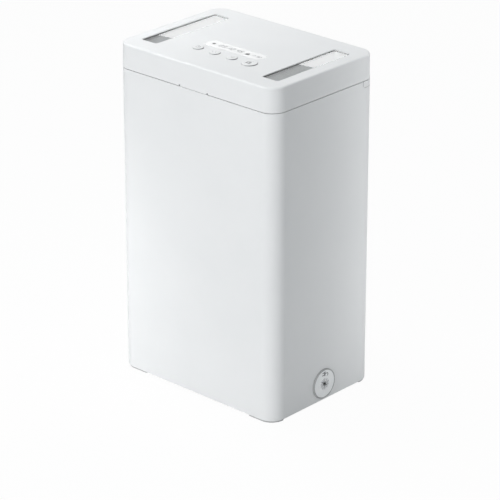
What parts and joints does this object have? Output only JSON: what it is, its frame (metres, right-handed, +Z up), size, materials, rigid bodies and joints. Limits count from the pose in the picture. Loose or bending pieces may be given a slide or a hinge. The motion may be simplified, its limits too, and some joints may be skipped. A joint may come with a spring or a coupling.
{
  "type": "timed lock container",
  "caption": "Deep rounded white box with a rear-hinged lid that holds a clock display, push buttons, clear windows and a motor-driven bolt; cable grommet low on one side.",
  "frame": {"origin": "on the floor under the middle of the box", "axes": "+Z up, +X to the right and +Y to the rear, as seen from the front; the buttons lie towards the front, the hinge at the rear"},
  "size_m": [0.212, 0.15, 0.3542],
  "materials": {
    "shell": "satin white ABS, fine spark texture",
    "inner_plastic": "white ABS, plain moulded",
    "grommet_rubber": "white silicone, matt",
    "foot_rubber": "grey rubber, matt",
    "window": "clear polished acrylic",
    "foam": "black closed-cell foam",
    "lens": "translucent white lens, satin",
    "black_plastic": "black moulded plastic",
    "board": "green solder mask",
    "steel": "zinc-plated steel",
    "brass": "plain brass",
    "cell_sleeve": "plain shrink sleeve"
  },
  "bodies": {
    "box": {"body_shell": "shell", "front_feet": "foot_rubber", "rear_feet": "foot_rubber", "cable_grommet": "grommet_rubber", "hinge_bar": "shell", "hinge_bar_screws": "steel", "hinge_pin": "steel", "strike_plate": "steel", "strike_screws": "steel"},
    "lid": {"lid_cover": "shell", "inner_panel": "inner_plastic", "lid_screws": "steel", "window_pane_left": "window", "window_pane_right": "window", "window_seal_left": "foam", "window_seal_right": "foam", "display_lens": "lens", "display_module": "black_plastic", "main_board": "board", "board_parts": "black_plastic", "board_screws": "steel", "buzzer": "black_plastic", "tact_switches": "black_plastic", "lock_housing": "inner_plastic", "lock_housing_screws": "steel", "motor_gearbox": "brass", "motor_can": "steel", "motor_strap": "steel", "motor_strap_screws": "steel", "battery_box": "black_plastic", "battery_cells": "cell_sleeve", "battery_contacts": "steel"},
    "drive": {"pinion": "brass", "output_shaft": "steel"},
    "bolt": {"lock_bolt": "steel"},
    "battery_cover": {"battery_door": "inner_plastic"},
    "key_1": {"button_1": "shell", "plunger_1": "steel"},
    "key_2": {"button_2": "shell", "plunger_2": "steel"},
    "key_3": {"button_3": "shell", "plunger_3": "steel"},
    "key_4": {"button_4": "shell", "plunger_4": "steel"}
  },
  "joints": [
    {"name": "lid_hinge", "type": "hinge", "parent": "box", "child": "lid", "pos_m": [0, 0.071, 0.3272], "axis": [-1, 0, 0], "range_deg": [0, 100]},
    {"name": "bolt_slide", "type": "slide", "parent": "lid", "child": "bolt", "axis": [0, -1, 0], "range_m": [0, 0.007]},
    {"name": "pinion_spin", "type": "hinge", "parent": "lid", "child": "drive", "pos_m": [0, -0.052, 0.3383], "axis": [-1, 0, 0], "range_deg": [0, 84]},
    {"name": "battery_door_hinge", "type": "hinge", "parent": "lid", "child": "battery_cover", "pos_m": [0, 0.0431, 0.3246], "axis": [1, 0, 0], "range_deg": [0, 75]},
    {"name": "button_1_press", "type": "slide", "parent": "lid", "child": "key_1", "axis": [0, 0, -1], "range_m": [0, 0.0006], "stiffness_N_per_m": 900},
    {"name": "button_2_press", "type": "slide", "parent": "lid", "child": "key_2", "axis": [0, 0, -1], "range_m": [0, 0.0006], "stiffness_N_per_m": 900},
    {"name": "button_3_press", "type": "slide", "parent": "lid", "child": "key_3", "axis": [0, 0, -1], "range_m": [0, 0.0006], "stiffness_N_per_m": 900},
    {"name": "button_4_press", "type": "slide", "parent": "lid", "child": "key_4", "axis": [0, 0, -1], "range_m": [0, 0.0006], "stiffness_N_per_m": 900}
  ],
  "couplings": [
    {"joint": "pinion_spin", "follows": "bolt_slide", "rad_per_m": 208.33}
  ]
}
